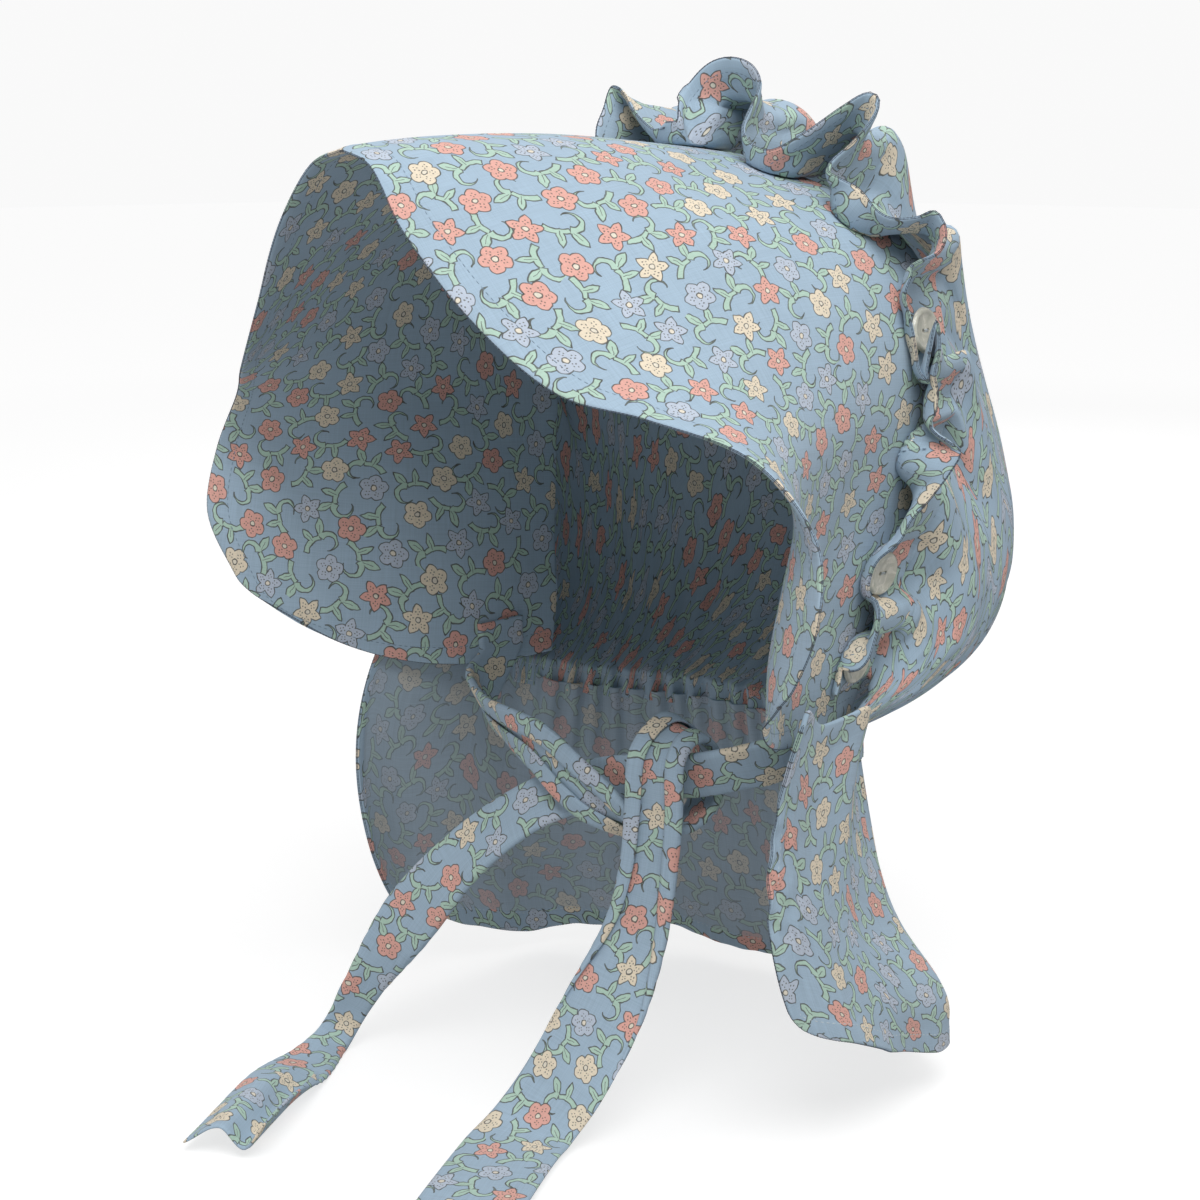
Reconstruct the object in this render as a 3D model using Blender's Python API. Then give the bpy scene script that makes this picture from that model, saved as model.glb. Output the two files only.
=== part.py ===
"""Prairie bonnet: a stiffened brim, a gathered crown buttoned on along a ruffle, a neck curtain and ties.

Metres, +Z up. The front is -Y and the near side, left as worn, is +X. The origin is at the top centre,
inside the brim's back edge. Tables are in centimetres.
"""
import math

import bmesh
import bpy
from mathutils import Matrix, Vector

# Driving dimensions
CM = 0.01
BRIM_THICKNESS = 0.002
CLOTH_THICKNESS = 0.0012
TIE_THICKNESS = 0.0014
SEAT_GAP = 0.0005
BUTTON_RADIUS = 0.009
BUTTON_THICKNESS = 0.0026
BUTTON_RIM = 0.0016
BUTTON_DISH = 0.0007
BUTTON_HOLE_RADIUS = 0.0009
BUTTON_HOLE_SPACING = 0.0034
CROWN_REACH = 28.4
CURTAIN_REACH = 27.8
BRIM_SIZE = (54, 8)
CURTAIN_SIZE = (60, 7)
LOOP_SHARES = (0.0, 1 / 6, 0.26, 0.37, 0.5, 0.63, 0.74, 5 / 6)
CROWN_STEPS = (-1.0, -0.91, -0.76, -0.57, -0.28, 0.0, 0.1, 0.24, 0.42, 0.6, 0.8, 1.0, 2.0)
BAND_HEIGHT = 0.9
RUFFLE_DEPTH = 3.05
RUFFLE_LIFT = 0.25
SEAT_AT_BUTTON = 1.16
CLOTH_START = 0.15
BUTTON_LINE = 1.9
LAST_BUTTON = 27.1
FOLD_FADE = 0.38
GATHERS = 26
GATHER_DEPTH = 0.22

# The brim. Columns: distance along its back edge from the top centre, then x, y and z of its
# back edge, its middle and its front edge
BRIM_ROWS = (
    (0.0, 0.0, 1.5, 0.3, 0.0, -9.0, 1.0, 0.0, -18.4, 0.5),
    (1.8, 1.8, 1.5, 0.15, 2.0, -9.1, 0.7, 1.7, -18.5, -0.1),
    (3.7, 3.7, 1.5, -0.35, 4.0, -9.1, -0.2, 3.4, -18.6, -2.2),
    (7.3, 7.1, 1.7, -1.5, 7.2, -8.9, -2.3, 6.0, -17.7, -5.3),
    (10.3, 9.5, 2.2, -3.2, 9.6, -8.4, -4.6, 8.7, -16.4, -7.6),
    (12.9, 10.5, 2.7, -5.4, 11.2, -7.4, -6.8, 11.2, -14.7, -8.4),
    (16.3, 10.7, 3.0, -8.7, 12.1, -6.6, -9.4, 14.2, -12.7, -9.7),
    (19.3, 10.5, 2.7, -11.6, 11.9, -6.6, -12.0, 16.5, -12.1, -12.2),
    (22.0, 10.1, 2.2, -14.2, 11.4, -6.9, -14.6, 16.9, -12.4, -14.9),
    (24.8, 9.6, 1.6, -16.8, 10.9, -6.9, -17.3, 15.8, -12.1, -17.2),
    (27.8, 8.9, 1.0, -19.7, 10.6, -6.5, -20.0, 14.8, -11.8, -18.3),
    (30.2, 8.5, 0.3, -21.9, 10.4, -6.0, -21.7, 13.0, -10.5, -19.6),
)

# The crown from the brim's back edge to the nape. Columns: distance along the back edge, then
# x, y and z of the curve's first handle, its second handle and its end at the nape
CROWN_ROWS = (
    (0.0, 0.0, 7.6, 3.2, 0.0, 20.5, -18.6, 0.0, 5.2, -23.2),
    (5.0, 5.0, 6.2, 2.4, 5.3, 19.8, -18.6, 2.2, 5.0, -23.1),
    (8.7, 8.1, 4.0, 0.2, 9.0, 18.2, -18.7, 4.1, 4.4, -23.0),
    (13.7, 11.0, 3.4, -5.6, 12.4, 14.6, -19.2, 6.0, 3.3, -22.9),
    (18.6, 11.7, 3.4, -10.8, 13.6, 11.0, -19.2, 7.6, 1.9, -22.7),
    (23.5, 11.3, 2.9, -16.0, 12.6, 5.8, -19.8, 8.8, 0.2, -22.3),
    (28.4, 10.0, 1.6, -20.3, 10.5, 0.8, -21.1, 9.4, -1.2, -21.9),
)

# The loops of the ruffle between neighbouring buttons. Columns: start and end along the back edge,
# height, then the places along it of the first foot, first belly, crest, second belly and second
# foot, and the set-back of the crest
NEAR_LOOPS = (
    (0.0, 4.4, 3.2, 0.55, 0.1, 1.6, 3.0, 3.7, 1.4),
    (4.4, 8.7, 4.0, 5.0, 6.0, 7.0, 7.35, 7.6, 1.7),
    (8.7, 13.7, 2.7, 9.3, 10.2, 10.6, 11.4, 11.9, 1.5),
    (13.7, 18.6, 1.9, 15.4, 16.9, 17.7, 17.9, 17.8, 1.3),
    (18.6, 23.5, 1.6, 19.3, 19.6, 20.2, 21.5, 22.6, 1.2),
    (23.5, LAST_BUTTON, 0.95, 24.3, 24.2, 25.2, 26.3, 26.4, 1.0),
)
FAR_LOOPS = (
    (0.0, 4.4, 2.6, 0.6, 1.9, 3.1, 3.4, 3.5, 1.4),
    (4.4, 8.7, 1.6, 5.2, 5.3, 6.4, 7.5, 7.6, 1.1),
    (8.7, 13.7, 2.6, 9.7, 10.2, 11.6, 12.0, 12.4, 1.4),
    (13.7, 18.6, 2.4, 14.8, 14.6, 15.8, 17.3, 17.5, 1.4),
    (18.6, 23.5, 2.3, 19.7, 20.0, 21.4, 22.0, 22.4, 1.3),
    (23.5, LAST_BUTTON, 1.0, 24.7, 24.8, 25.3, 25.8, 25.9, 1.0),
)
LOOP_PROFILE = (0.0, 0.0, 0.5, 1.0, 0.5, 0.0, 0.0)

# The neck curtain. Columns: distance from the centre of the nape, then x, y and z of its top edge,
# its middle and its hem
CURTAIN_ROWS = (
    (0.0, 0.0, 5.2, -24.1, 0.0, 6.6, -30.6, 0.0, 8.6, -37.0),
    (5.0, 2.2, 5.0, -24.0, 2.6, 6.4, -30.6, 3.2, 8.4, -37.0),
    (9.4, 4.1, 4.4, -23.9, 4.8, 5.8, -30.4, 5.9, 7.8, -36.9),
    (14.4, 6.0, 3.3, -23.8, 6.9, 4.6, -30.1, 8.4, 6.2, -36.8),
    (19.0, 7.6, 1.9, -23.6, 8.7, 2.7, -29.7, 10.4, 4.4, -36.5),
    (24.0, 8.8, 0.2, -23.2, 9.9, 0.3, -29.0, 11.8, 1.8, -35.8),
    (27.8, 9.4, -1.2, -22.8, 10.7, -2.0, -28.3, 12.4, -0.6, -34.9),
    (28.9, 10.0, -1.7, -22.7, 10.9, -2.9, -27.9, 12.5, -1.8, -34.5),
    (29.9, 10.5, -2.8, -21.2, 11.05, -3.9, -27.4, 12.6, -2.7, -34.1),
    (31.5, 10.9, -4.6, -19.9, 11.3, -5.6, -26.8, 12.5, -4.4, -33.4),
    (34.0, 11.5, -6.0, -20.0, 11.3, -7.0, -26.6, 12.2, -5.9, -32.8),
    (35.6, 11.8, -6.7, -20.4, 11.2, -7.7, -26.4, 11.9, -6.7, -32.2),
)
FAR_HEM_DROP = 0.9
CURTAIN_BILLOW = 1.3

# The ties. Columns: x, y and z of the centre line, width, and the direction that the outer face looks
NEAR_TIE = (
    (8.6, -4.0, -22.8, 1.9, 0.5, -0.6, -0.5),
    (7.0, -5.3, -23.4, 1.7, 0.3, -0.8, -0.4),
    (5.2, -5.8, -23.9, 1.6, 0.1, -0.95, -0.3),
    (3.6, -5.9, -24.2, 1.5, 0.0, -1.0, -0.2),
    (1.6, -6.3, -24.6, 1.6, -0.1, -1.0, 0.1),
    (-0.4, -6.9, -25.3, 1.9, -0.1, -1.0, 0.4),
    (-2.2, -7.9, -26.4, 2.3, 0.0, -0.9, 0.55),
    (-4.4, -9.1, -28.5, 2.6, 0.2, -0.85, 0.6),
    (-6.6, -10.3, -31.6, 2.5, 0.5, -0.8, 0.4),
    (-8.4, -11.3, -34.8, 1.6, 0.8, -0.6, 0.2),
    (-9.3, -12.1, -36.9, 1.5, 0.6, -0.4, 0.7),
    (-8.7, -13.8, -37.3, 2.2, 0.2, -0.1, 1.0),
    (-7.2, -16.8, -37.3, 3.2, 0.1, 0.0, 1.0),
    (-5.3, -20.0, -37.3, 3.8, 0.0, 0.0, 1.0),
    (-4.2, -21.9, -37.3, 4.0, 0.0, 0.0, 1.0),
)
FAR_TIE = (
    (-8.5, -4.0, -22.8, 1.9, -0.5, -0.6, -0.5),
    (-7.1, -5.1, -23.2, 1.8, -0.4, -0.7, -0.4),
    (-5.2, -6.1, -23.3, 1.8, -0.3, -0.8, -0.4),
    (-3.2, -7.0, -23.3, 1.8, -0.1, -0.95, -0.2),
    (-1.4, -7.4, -23.6, 1.9, 0.0, -1.0, 0.0),
    (0.4, -7.5, -24.5, 2.0, 0.0, -1.0, 0.1),
    (1.8, -7.1, -25.4, 2.0, 0.0, -1.0, -0.1),
    (3.3, -6.3, -26.2, 1.9, 0.1, -0.6, -0.8),
    (4.4, -5.0, -26.0, 1.8, 0.3, 0.4, -0.9),
    (4.9, -4.3, -24.7, 1.8, 0.3, 0.95, -0.1),
    (4.9, -4.5, -22.9, 1.9, 0.3, 0.6, 0.7),
    (4.8, -5.7, -22.05, 2.0, 0.3, -0.2, 1.0),
    (4.8, -7.0, -22.9, 2.1, 0.3, -0.95, 0.3),
    (4.8, -7.2, -25.2, 2.2, 0.3, -0.95, 0.0),
    (4.7, -7.4, -27.6, 2.3, 0.2, -0.95, 0.1),
    (4.5, -7.9, -30.0, 2.6, 0.2, -0.9, 0.3),
    (4.2, -9.2, -32.6, 3.3, 0.2, -0.8, 0.5),
    (3.7, -11.1, -35.4, 3.9, 0.1, -0.7, 0.6),
    (3.3, -12.5, -37.0, 4.0, 0.1, -0.4, 0.9),
    (3.9, -14.4, -37.3, 4.0, 0.0, 0.0, 1.0),
    (5.6, -17.6, -37.3, 4.0, 0.0, 0.0, 1.0),
    (7.4, -20.8, -37.3, 4.0, 0.0, 0.0, 1.0),
    (9.0, -23.4, -37.3, 4.0, 0.0, 0.0, 1.0),
)
TIE_STEPS = 46
TIE_SEAT_ARCS = (27.9, 28.7, 29.5)
TIE_SEAT_SHARE = 0.2
TIE_SEAT_SPREAD = 0.13
TIE_SEAT_GAP = 0.07


def clear_scene():
    for thing in list(bpy.data.objects):
        bpy.data.objects.remove(thing, do_unlink=True)


def smooth_step(x):
    x = min(max(x, 0.0), 1.0)
    return x * x * (3.0 - 2.0 * x)


def read_rows(rows, at):
    """The columns of a table at one value of its first column, on a smooth curve through the rows."""
    at = min(max(at, rows[0][0]), rows[-1][0])
    last = len(rows) - 2
    i = next((k for k in range(last + 1) if at <= rows[k + 1][0]), last)
    span = rows[i + 1][0] - rows[i][0]
    t = (at - rows[i][0]) / span

    def slope(k, column):
        lower, upper = max(k - 1, 0), min(k + 1, len(rows) - 1)
        return (rows[upper][column] - rows[lower][column]) / (rows[upper][0] - rows[lower][0])

    values = []
    for column in range(1, len(rows[0])):
        a, b = rows[i][column], rows[i + 1][column]
        m, n = slope(i, column) * span, slope(i + 1, column) * span
        values.append(
            (2 * t**3 - 3 * t**2 + 1) * a + (t**3 - 2 * t**2 + t) * m
            + (3 * t**2 - 2 * t**3) * b + (t**3 - t**2) * n
        )
    return values


def mirrored(point, arc):
    return Vector((-point.x, point.y, point.z)) if arc < 0 else point


def three_point(values, t):
    a, b, c = Vector(values[0:3]), Vector(values[3:6]), Vector(values[6:9])
    return a * ((1 - t) * (1 - 2 * t)) + b * (4 * t * (1 - t)) + c * (t * (2 * t - 1))


def brim_point(arc, t):
    """t runs from the back edge, 0, to the front edge, 1."""
    return mirrored(three_point(read_rows(BRIM_ROWS, abs(arc)), t), arc)


def outward(place, u, v):
    """The outward normal of a surface that is laid out like the brim."""
    along = place(u + 0.1, v) - place(u - 0.1, v)
    across = place(u, v + 0.005) - place(u, v - 0.005)
    return across.cross(along).normalized()


def back_share(arc, distance):
    """The brim's t at a distance from its back edge."""
    pace = (brim_point(arc, 0.05) - brim_point(arc, 0.0)).length / 0.05
    return distance / pace


def loop_shape(loop, share, t):
    """Place along the back edge and height of the crown's cloth at a share of one loop's length."""
    start, end, height = loop[0], loop[1], loop[2]
    ahead = max(CLOTH_START - RUFFLE_DEPTH * t - BUTTON_LINE, 0.0)
    clear = math.sqrt(max(SEAT_AT_BUTTON**2 - ahead**2, 0.0))
    held = [start] + [min(max(place, start + clear), end - clear) for place in loop[3:8]] + [end]
    spread = smooth_step(t / 0.5)
    standing = 1.0 - 0.3 * smooth_step(t + 1.0)
    standing *= 1.0 - smooth_step(t / FOLD_FADE)
    rows = []
    for k in range(7):
        even = start + (end - start) * k / 6
        rows.append((k, held[k] + (even - held[k]) * spread, LOOP_PROFILE[k] * height * standing))
    place, lift = read_rows(rows, share * 6)
    return min(max(place, 0.0), CROWN_REACH), max(lift, 0.0)


def crown_point(side, loop, share, t):
    """t runs from the ruffle's edge, -1, over the button line to the brim's back edge, 0, to the
    casing at the nape, 1, and on down its band, 2. A loop of None is the plain end of the cloth."""
    if loop is None:
        place, height, set_back = share, 0.0, 0.0
    else:
        place, height = loop_shape(loop, share, t)
        set_back = loop[8] * (height / loop[2]) ** 2
    on_brim = back_share(place, CLOTH_START + RUFFLE_DEPTH * max(-t, 0.0))
    out = outward(brim_point, place, on_brim)
    seat = (BRIM_THICKNESS / 2 + SEAT_GAP + CLOTH_THICKNESS / 2) / CM
    start = brim_point(place, on_brim) + out * seat
    if t < 0.0:
        lift = RUFFLE_LIFT * smooth_step((-t - 0.9) / 0.1)
        return mirrored(start + out * (lift + height) + Vector((0.0, set_back, 0.0)), side)
    handles = read_rows(CROWN_ROWS, place)
    first, second, nape = Vector(handles[0:3]), Vector(handles[3:6]), Vector(handles[6:9])
    along = min(t, 1.0)
    point = start * (1 - along) ** 3 + first * 3 * along * (1 - along) ** 2
    point += second * 3 * along**2 * (1 - along) + nape * along**3
    point += out * height + Vector((0.0, set_back, 0.0))
    point += gather(place, smooth_step((along - 0.55) / 0.45), nape)
    if t > 1.0:
        point.z -= (t - 1.0) * (BAND_HEIGHT - SEAT_GAP / CM)
    return mirrored(point, side)


def gather(place, strength, nape):
    """The small pleats that the casing draws the cloth into."""
    out = Vector((nape.x, nape.y + 4.0, 0.0)).normalized()
    strength *= 1.0 - 0.85 * smooth_step((place - 21.0) / 5.0)
    return out * (GATHER_DEPTH * strength * math.sin(place / CURTAIN_REACH * GATHERS * math.pi))


def curtain_point(arc, t):
    """t runs from the casing or the free top edge, 0, to the hem, 1."""
    values = read_rows(CURTAIN_ROWS, abs(arc))
    point = three_point(values, t)
    nape = Vector(values[0:3])
    drawn = 1.0 - smooth_step((abs(arc) - 26.5) / 2.0)
    point += gather(min(abs(arc), CURTAIN_REACH), (1.0 - 0.8 * smooth_step(t / 0.5)) * drawn, nape)
    if arc < 0:
        point.z -= FAR_HEM_DROP * t * t * smooth_step((abs(arc) - 12.0) / 12.0)
    flare = smooth_step((t - 0.25) / 0.75) * smooth_step(abs(arc) / 6.0)
    wave = math.sin(abs(arc) * 0.62 + 0.6)
    point += Vector((0.55, 0.35, 0.0)) * (wave * flare * 0.6)
    billow = smooth_step((abs(arc) - 14.0) / 6.0) * (1.0 - smooth_step((abs(arc) - 27.0) / 4.0))
    point += Vector((0.8, 0.25, 0.0)) * (CURTAIN_BILLOW * billow * math.exp(-((t - 0.82) / 0.16) ** 2))
    return mirrored(point, arc)


def plain_material(name, colour, roughness):
    material = bpy.data.materials.new(name)
    material.use_nodes = True
    shader = material.node_tree.nodes["Principled BSDF"]
    shader.inputs["Base Color"].default_value = (*colour, 1.0)
    shader.inputs["Roughness"].default_value = roughness
    shader.inputs["Metallic"].default_value = 0.0
    return material


def add_object(name, mesh, material):
    thing = bpy.data.objects.new(name, mesh)
    bpy.context.scene.collection.objects.link(thing)
    if not mesh.materials:
        mesh.materials.append(material)
    return thing


def cloth(name, size, place, thickness, material):
    """A grid laid on a surface and thickened. place(u, v) gives centimetres for u and v from 0 to 1."""
    work = bmesh.new()
    bmesh.ops.create_grid(work, x_segments=size[0], y_segments=size[1], size=0.5)
    for vert in work.verts:
        vert.co = place(vert.co.x + 0.5, vert.co.y + 0.5) * CM
    mesh = bpy.data.meshes.new(name)
    work.to_mesh(mesh)
    work.free()
    mesh.shade_smooth()
    sheet = add_object(name, mesh, material)
    wall = sheet.modifiers.new("wall", "SOLIDIFY")
    wall.thickness = thickness
    wall.offset = 0.0
    return sheet


def make_brim(material):
    reach = BRIM_ROWS[-1][0]
    cloth("brim", BRIM_SIZE, lambda u, v: brim_point((u * 2 - 1) * reach, v), BRIM_THICKNESS, material)


def crown_columns(side, loops):
    """Side, loop and share of every column of the crown's cloth from the top centre down one side."""
    columns = [(side, loop, share) for loop in loops for share in LOOP_SHARES]
    return columns + [(side, loops[-1], 1.0), (side, None, CROWN_REACH)]


def make_crown(material):
    near = crown_columns(1, NEAR_LOOPS)
    far = crown_columns(-1, FAR_LOOPS)
    columns = far[:0:-1] + near

    last_column, last_step = len(columns) - 1, len(CROWN_STEPS) - 1

    def place(u, v):
        return crown_point(*columns[round(u * last_column)], CROWN_STEPS[round(v * last_step)])

    cloth("crown", (last_column, last_step), place, CLOTH_THICKNESS, material)


def make_curtain(material):
    reach = CURTAIN_ROWS[-1][0]

    def place(u, v):
        return curtain_point((u * 2 - 1) * reach, v)

    cloth("curtain", CURTAIN_SIZE, place, CLOTH_THICKNESS, material)


def tie_lines(rows, side):
    """One edge, the centre and the other edge of a band, from its seat inside the brim to its end."""
    inset = (BRIM_THICKNESS + TIE_THICKNESS) / 2 / CM + TIE_SEAT_GAP
    lines = ([], [], [])
    for arc in TIE_SEAT_ARCS:
        for line, across in zip(lines, (-0.5, 0.0, 0.5)):
            share = TIE_SEAT_SHARE + side * across * TIE_SEAT_SPREAD
            inside = brim_point(arc, share) - outward(brim_point, arc, share) * inset
            line.append(mirrored(inside, side))
    for k, row in enumerate(rows):
        run = Vector(rows[min(k + 1, len(rows) - 1)][0:3]) - Vector(rows[max(k - 1, 0)][0:3])
        width = run.cross(Vector(row[4:7])).normalized() * row[3]
        for line, across in zip(lines, (-0.5, 0.0, 0.5)):
            line.append(Vector(row[0:3]) + width * across)
    return [[(k, *point) for k, point in enumerate(line)] for line in lines]


def make_tie(name, rows, side, material):
    lines = tie_lines(rows, side)
    last = len(lines[0]) - 1

    def place(u, v):
        return Vector(read_rows(lines[round(v * 2)], u * last))

    cloth(name, (TIE_STEPS, 2), place, TIE_THICKNESS, material)


def button_mesh():
    """A round two-hole button with a raised rim, its back at z = 0."""
    work = bmesh.new()
    half = Matrix.Translation((0.0, 0.0, BUTTON_THICKNESS / 2))
    bmesh.ops.create_cone(
        work, cap_ends=True, segments=14, radius1=BUTTON_RADIUS, radius2=BUTTON_RADIUS,
        depth=BUTTON_THICKNESS, matrix=half,
    )
    top = [face for face in work.faces if face.normal.z > 0.9]
    bmesh.ops.inset_region(work, faces=top, thickness=BUTTON_RIM, depth=-BUTTON_DISH)
    blank = bpy.data.meshes.new("button_blank")
    work.to_mesh(blank)
    work.clear()
    for side in (-1, 1):
        hole = Matrix.Translation((side * BUTTON_HOLE_SPACING / 2, 0.0, BUTTON_THICKNESS / 2))
        bmesh.ops.create_cone(
            work, cap_ends=True, segments=5, radius1=BUTTON_HOLE_RADIUS, radius2=BUTTON_HOLE_RADIUS,
            depth=BUTTON_THICKNESS * 3, matrix=hole,
        )
    drill_mesh = bpy.data.meshes.new("button_drill")
    work.to_mesh(drill_mesh)
    work.free()
    disc = bpy.data.objects.new("button_blank", blank)
    drill = bpy.data.objects.new("button_drill", drill_mesh)
    for thing in (disc, drill):
        bpy.context.scene.collection.objects.link(thing)
    cut = disc.modifiers.new("holes", "BOOLEAN")
    cut.operation = "DIFFERENCE"
    cut.solver = "EXACT"
    cut.object = drill
    drilled = disc.evaluated_get(bpy.context.evaluated_depsgraph_get())
    mesh = bpy.data.meshes.new_from_object(drilled)
    mesh.name = "button"
    for thing in (disc, drill):
        bpy.data.objects.remove(thing, do_unlink=True)
    return mesh


def button_arcs():
    """Where the buttons sit: at the top centre and at every meeting of two loops, down to the last."""
    near = [row[1] for row in NEAR_LOOPS]
    far = [-row[1] for row in FAR_LOOPS]
    return [0.0] + near + far


def make_buttons(material):
    mesh = button_mesh()
    seat = (BRIM_THICKNESS / 2 + CLOTH_THICKNESS + 2 * SEAT_GAP) / CM
    for number, arc in enumerate(button_arcs(), start=1):
        on_brim = back_share(abs(arc), BUTTON_LINE)
        out = outward(brim_point, abs(arc), on_brim)
        place = brim_point(abs(arc), on_brim) + out * seat
        out = mirrored(out, arc)
        button = add_object(f"button_{number:02d}", mesh, material)
        button.location = mirrored(place, arc) * CM
        button.rotation_mode = "QUATERNION"
        button.rotation_quaternion = out.to_track_quat("Z", "Y")


def main():
    clear_scene()
    calico = plain_material("calico", (0.36, 0.5, 0.68), 0.85)
    pearl = plain_material("pearl_shell", (0.75, 0.7, 0.58), 0.25)
    make_brim(calico)
    make_crown(calico)
    make_curtain(calico)
    make_tie("tie_near", NEAR_TIE, 1, calico)
    make_tie("tie_far", FAR_TIE, -1, calico)
    make_buttons(pearl)


main()
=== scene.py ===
import math
import bmesh
import bpy
from mathutils import Matrix, Vector, noise


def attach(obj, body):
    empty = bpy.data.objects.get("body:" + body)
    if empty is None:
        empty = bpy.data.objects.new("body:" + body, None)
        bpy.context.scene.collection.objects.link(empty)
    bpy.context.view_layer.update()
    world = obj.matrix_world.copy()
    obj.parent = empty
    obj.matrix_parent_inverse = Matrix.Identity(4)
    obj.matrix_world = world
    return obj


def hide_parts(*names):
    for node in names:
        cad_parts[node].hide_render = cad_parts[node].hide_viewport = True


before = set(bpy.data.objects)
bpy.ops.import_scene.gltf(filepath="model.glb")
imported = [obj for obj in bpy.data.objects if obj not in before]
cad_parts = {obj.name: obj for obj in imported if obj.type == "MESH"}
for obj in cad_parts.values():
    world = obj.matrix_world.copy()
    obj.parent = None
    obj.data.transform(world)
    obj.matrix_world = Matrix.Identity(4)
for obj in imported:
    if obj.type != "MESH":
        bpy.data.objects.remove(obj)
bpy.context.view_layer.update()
scene = bpy.context.scene
cm = 0.01  # the tables below are in centimetres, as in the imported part
fullTurn = 2 * math.pi

# ---- shader building
building = {}  # the node tree that new nodes go into


def wire(socket, value):
    if isinstance(value, bpy.types.NodeSocket):
        socket.id_data.links.new(value, socket)
    else:
        socket.default_value = value


def addNode(kind):
    return building["tree"].nodes.new("ShaderNode" + kind)


def feed(node, *values):  # values go into its first sockets
    for socket, value in zip(node.inputs, values):
        wire(socket, value)
    return node.outputs


def feedNamed(node, **values):
    for label, value in values.items():
        wire(node.inputs[label], value)
    return node.outputs


def calc(operation, *values):
    node = addNode("Math")
    node.operation = operation
    return feed(node, *values)[0]


def minus(a, b):
    return calc("SUBTRACT", a, b)


def times(a, b):
    return calc("MULTIPLY", a, b)


def vectorCalc(operation, *values):
    node = addNode("VectorMath")
    node.operation = operation
    return feed(node, *values)["Value" if operation in ("LENGTH", "DISTANCE") else "Vector"]


def scaled(vector, size):
    return vectorCalc("MULTIPLY", vector, (size, size, 0.0))


def centred(colour):  # a noise colour as a way off its middle
    return vectorCalc("SUBTRACT", colour, (0.5, 0.5, 0.5))


def split(vector):
    return tuple(feed(addNode("SeparateXYZ"), vector))


def join(x, y):
    return feed(addNode("CombineXYZ"), x, y)[0]


def turned(vector, angle):
    node = addNode("VectorRotate")
    node.rotation_type = "Z_AXIS"
    return feedNamed(node, Vector=vector, Angle=angle)[0]


def blendColour(share, first, second, kind="MIX"):
    node = addNode("Mix")
    node.data_type = "RGBA"
    node.blend_type = kind
    node.clamp_factor = True
    for number, value in ((0, share), (6, first), (7, second)):
        wire(node.inputs[number], value)
    return node.outputs[2]


def inside(distance, soft=0.06):  # 1 where a distance in millimetres is below nought
    node = addNode("MapRange")
    node.interpolation_type = "SMOOTHSTEP"
    return feed(node, distance, -soft, soft, 1.0, 0.0)[0]


def softNoise(vector, scale, detail=2.0, kind="Fac"):
    return feedNamed(addNode("TexNoise"), Vector=vector, Scale=scale, Detail=detail)[kind]


def litOrSeen(lit, seen):  # one strength for the light that is given off, another for what the camera sees
    return feed(addNode("MapRange"), addNode("LightPath").outputs["Is Camera Ray"], 0.0, 1.0, lit, seen)[0]


def startGroup(name, inputs, outputs):
    tree = bpy.data.node_groups.new(name, "ShaderNodeTree")
    for way, sockets in (("INPUT", inputs), ("OUTPUT", outputs)):
        for label, kind in sockets.items():
            tree.interface.new_socket(name=label, in_out=way, socket_type="NodeSocket" + kind)
    building["tree"] = tree
    return tree, tree.nodes.new("NodeGroupInput").outputs, tree.nodes.new("NodeGroupOutput").inputs


def placeGroup(group, **values):
    node = addNode("Group")
    node.node_tree = group
    return feedNamed(node, **values)


def startMaterial(name, values):
    material = bpy.data.materials.new(name)
    material.use_nodes = True
    building["tree"] = material.node_tree
    inputs = material.node_tree.nodes["Principled BSDF"].inputs
    for label, value in values.items():
        wire(inputs[label], value)
    return material, inputs


def addBump(inputs, height, distance, strength=1.0):
    node = addNode("Bump")
    feedNamed(node, Height=height, Distance=distance, Strength=strength)
    wire(inputs["Normal"], node.outputs[0])


def makeObject(name, work, *materials):
    mesh = bpy.data.meshes.new(name)
    work.to_mesh(mesh)
    work.free()
    for material in materials:
        mesh.materials.append(material)
    made = bpy.data.objects.new(name, mesh)
    scene.collection.objects.link(made)
    return made


# ---- camera, light and floor
studio = {
    "azimuth": 44.0,
    "elevation": 11.5,
    "distance": 0.95,
    "focalLength": 66.96,
    "aimAlong": -0.037,
    "aimHeight": -0.183,
    "floorHeight": -0.3768,
    "floorSize": 12.0,
    "floorColour": (0.35, 0.35, 0.35, 1.0),
    "floorFade": (0.8, 3.0),  # metres over which the glow that the camera sees grows
    "floorGlow": (0.72, 0.84),
    "floorLight": 0.2,
    "roomGlow": 0.95,  # as the camera sees it
    "roomLight": 0.33,
    "lights": (  # name, place, aim, diameter and watts
        ("overheadLight", (0.8, -0.68, 1.3), (0.0, -0.05, -0.15), 1.3, 29.0),
        ("sideLight", (-1.1, -1.5, 0.5), (0.0, -0.05, -0.2), 0.9, 3.0),
        ("backLight", (-0.9, 1.5, 0.9), (0.0, 0.0, -0.15), 1.3, 10.0),
    ),
}


def makeCamera():
    turn, tilt = math.radians(studio["azimuth"]), math.radians(studio["elevation"])
    right = Vector((math.cos(turn), math.sin(turn), 0.0))
    back = Vector((math.sin(turn) * math.cos(tilt), -math.cos(turn) * math.cos(tilt), math.sin(tilt)))
    up = back.cross(right)
    aim = right * studio["aimAlong"] + Vector((0.0, 0.0, studio["aimHeight"]))
    data = bpy.data.cameras.new("photoCamera")
    data.sensor_width = 36.0
    data.lens = studio["focalLength"]
    data.clip_start = 0.01
    camera = bpy.data.objects.new("photoCamera", data)
    scene.collection.objects.link(camera)
    axes = Matrix((right, up, back)).transposed().to_4x4()
    camera.matrix_world = Matrix.Translation(aim + back * studio["distance"]) @ axes
    scene.camera = camera


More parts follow.
